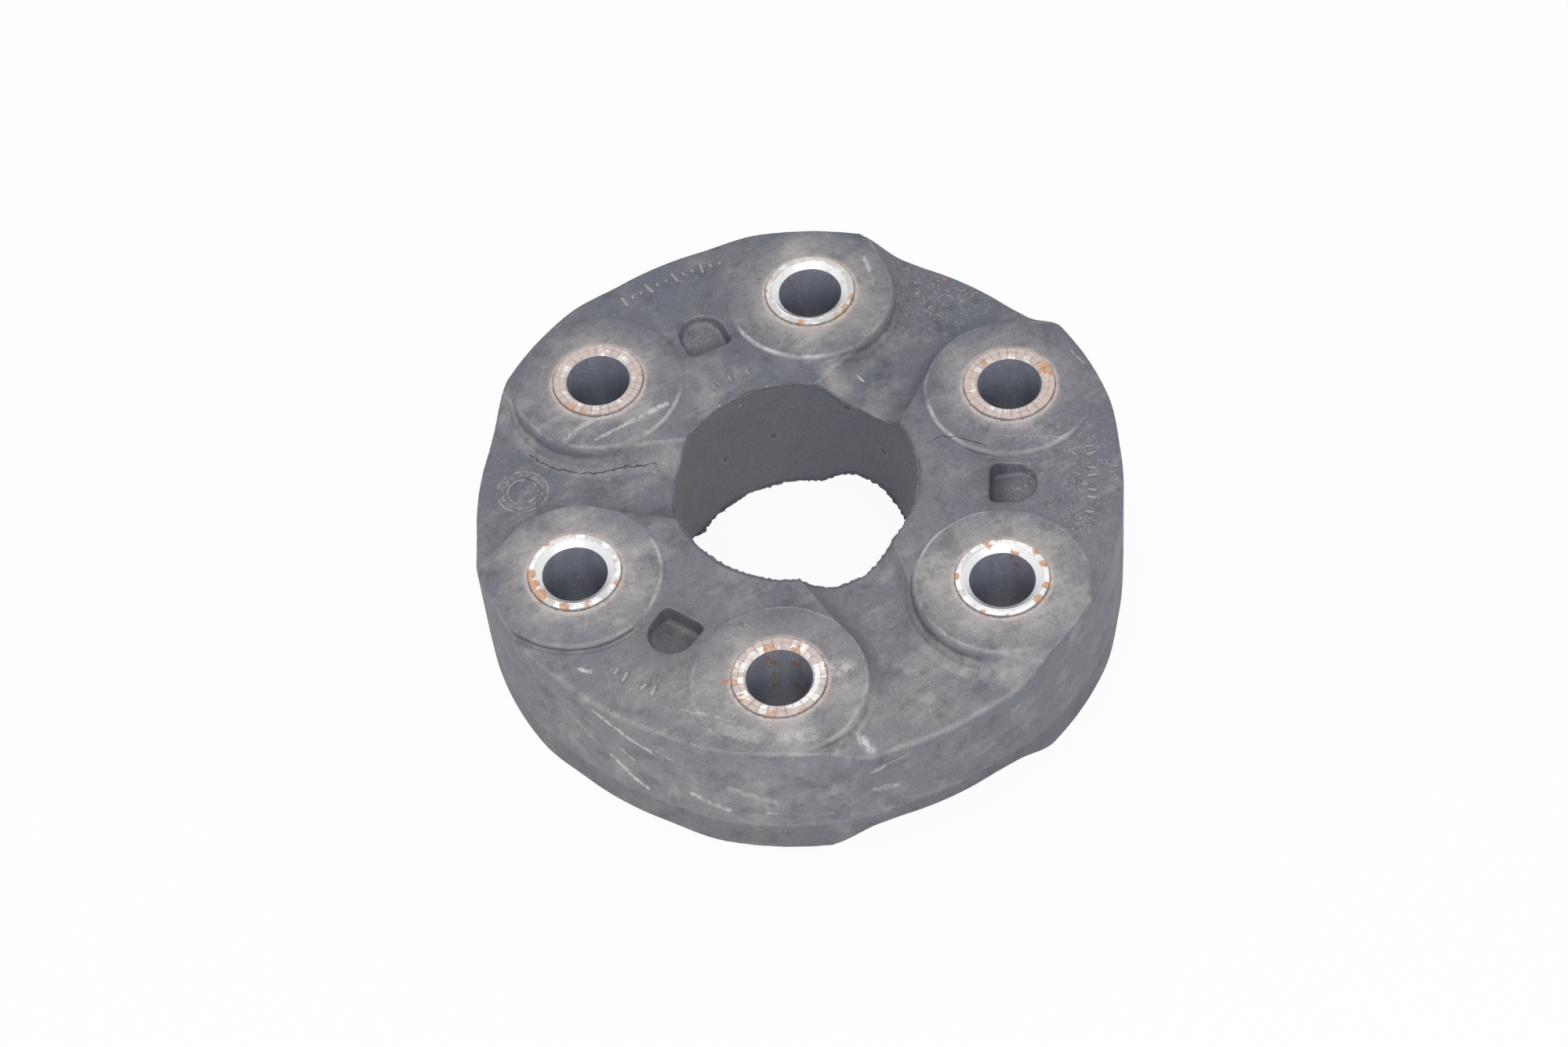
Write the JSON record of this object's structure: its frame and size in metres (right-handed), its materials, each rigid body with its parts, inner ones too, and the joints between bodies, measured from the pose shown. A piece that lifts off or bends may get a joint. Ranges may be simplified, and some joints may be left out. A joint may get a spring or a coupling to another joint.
{
  "type": "propshaft flexible coupling",
  "caption": "Round rubber disc with steel bolt sleeves and cord loops inside, bolted between two three-armed shaft flanges to pass torque and take up misalignment.",
  "frame": {"origin": "centre of the disc, at the lower ends of the sleeves", "axes": "+Z along the disc's axis; +X through the middle of a thick arm"},
  "size_m": [0.1416, 0.143, 0.038],
  "materials": {
    "rubber": "dull moulded rubber, dusty and scuffed, with small cracks",
    "sleeve_steel": "turned steel with radial grip marks and light rust",
    "cord": "wound polyester cord",
    "collar_steel": "plain pressed steel"
  },
  "bodies": {
    "root": {"rubber_body": "rubber", "sleeve_1": "sleeve_steel", "sleeve_2": "sleeve_steel", "sleeve_3": "sleeve_steel", "sleeve_4": "sleeve_steel", "sleeve_5": "sleeve_steel", "sleeve_6": "sleeve_steel", "drive_loop_upper_1": "cord", "drive_loop_upper_2": "cord", "drive_loop_upper_3": "cord", "drive_loop_lower_1": "cord", "drive_loop_lower_2": "cord", "drive_loop_lower_3": "cord", "coast_loop_1": "cord", "coast_loop_2": "cord", "coast_loop_3": "cord", "collar_1_top": "collar_steel", "collar_1_upper": "collar_steel", "collar_1_lower": "collar_steel", "collar_1_bottom": "collar_steel", "collar_2_top": "collar_steel", "collar_2_upper": "collar_steel", "collar_2_lower": "collar_steel", "collar_2_bottom": "collar_steel", "collar_3_top": "collar_steel", "collar_3_upper": "collar_steel", "collar_3_lower": "collar_steel", "collar_3_bottom": "collar_steel", "collar_4_top": "collar_steel", "collar_4_upper": "collar_steel", "collar_4_lower": "collar_steel", "collar_4_bottom": "collar_steel", "collar_5_top": "collar_steel", "collar_5_upper": "collar_steel", "collar_5_lower": "collar_steel", "collar_5_bottom": "collar_steel", "collar_6_top": "collar_steel", "collar_6_upper": "collar_steel", "collar_6_lower": "collar_steel", "collar_6_bottom": "collar_steel"}
  },
  "joints": []
}
